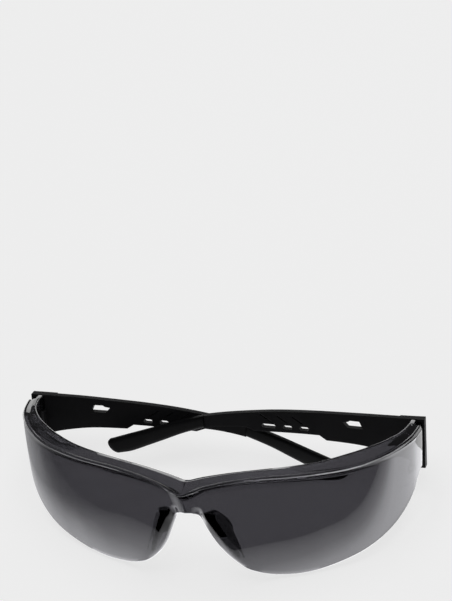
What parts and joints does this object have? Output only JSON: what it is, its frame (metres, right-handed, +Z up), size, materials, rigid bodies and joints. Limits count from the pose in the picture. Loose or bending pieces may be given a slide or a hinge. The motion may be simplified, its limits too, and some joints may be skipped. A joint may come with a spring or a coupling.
{
  "type": "safety glasses",
  "caption": "Wraparound safety glasses with a smoke-tinted one-piece lens, brow ledge, soft nose pads and folding black temples with slots and soft ear grips.",
  "frame": {"origin": "centre of the bottom of the bounding box, on the surface the folded glasses rest on", "axes": "+X to the wearer's left along the width, -Y the way the lens front faces, +Z up from the resting surface"},
  "size_m": [0.1462, 0.0584, 0.0435],
  "materials": {
    "tinted_lens": "polished smoke-tinted clear plastic",
    "soft_pad": "soft satin",
    "screw": "blackened",
    "black_plastic": "fine satin",
    "soft_grip": "soft satin"
  },
  "bodies": {
    "front": {"lens_shield": "tinted_lens", "nose_pad_left": "soft_pad", "nose_pad_right": "soft_pad", "hinge_screw_left": "screw", "hinge_screw_right": "screw"},
    "left_temple": {"temple_left": "black_plastic", "ear_grip_left": "soft_grip"},
    "right_temple": {"temple_right": "black_plastic", "ear_grip_right": "soft_grip"}
  },
  "joints": [
    {"name": "left_hinge", "type": "hinge", "parent": "front", "child": "left_temple", "pos_m": [0.06975, 0.02131, 0.0178], "axis": [0, -0.4939, -0.8695], "range_deg": [0, 92.5]},
    {"name": "right_hinge", "type": "hinge", "parent": "front", "child": "right_temple", "pos_m": [-0.06975, 0.02131, 0.0178], "axis": [0, 0.4939, 0.8695], "range_deg": [0, 89.6]}
  ]
}
